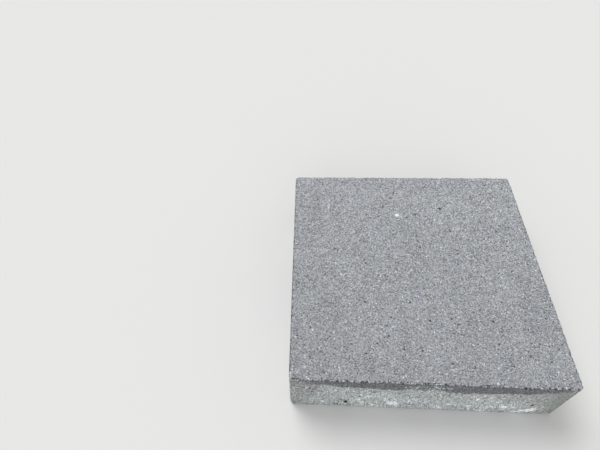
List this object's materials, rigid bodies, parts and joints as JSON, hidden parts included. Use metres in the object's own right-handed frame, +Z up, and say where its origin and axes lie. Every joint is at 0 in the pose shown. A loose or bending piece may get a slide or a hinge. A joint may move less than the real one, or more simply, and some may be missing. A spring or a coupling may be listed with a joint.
{
  "type": "concrete paving stone",
  "caption": "Square, sharp-edged paving stone of pressed concrete with a fine-grained facing, laid side by side on a bed to make a walked or driven surface.",
  "frame": {"origin": "centre of the bed face, on which the stone lies", "axes": "+Z up through the wearing face, +X along the front side face, +Y from the front side face to the back one"},
  "size_m": [0.298, 0.298, 0.08],
  "materials": {
    "concrete": "matt, fine-grained grey facing mix over a coarser, paler core mix"
  },
  "bodies": {
    "root": {"paving_stone": "concrete"}
  },
  "joints": []
}
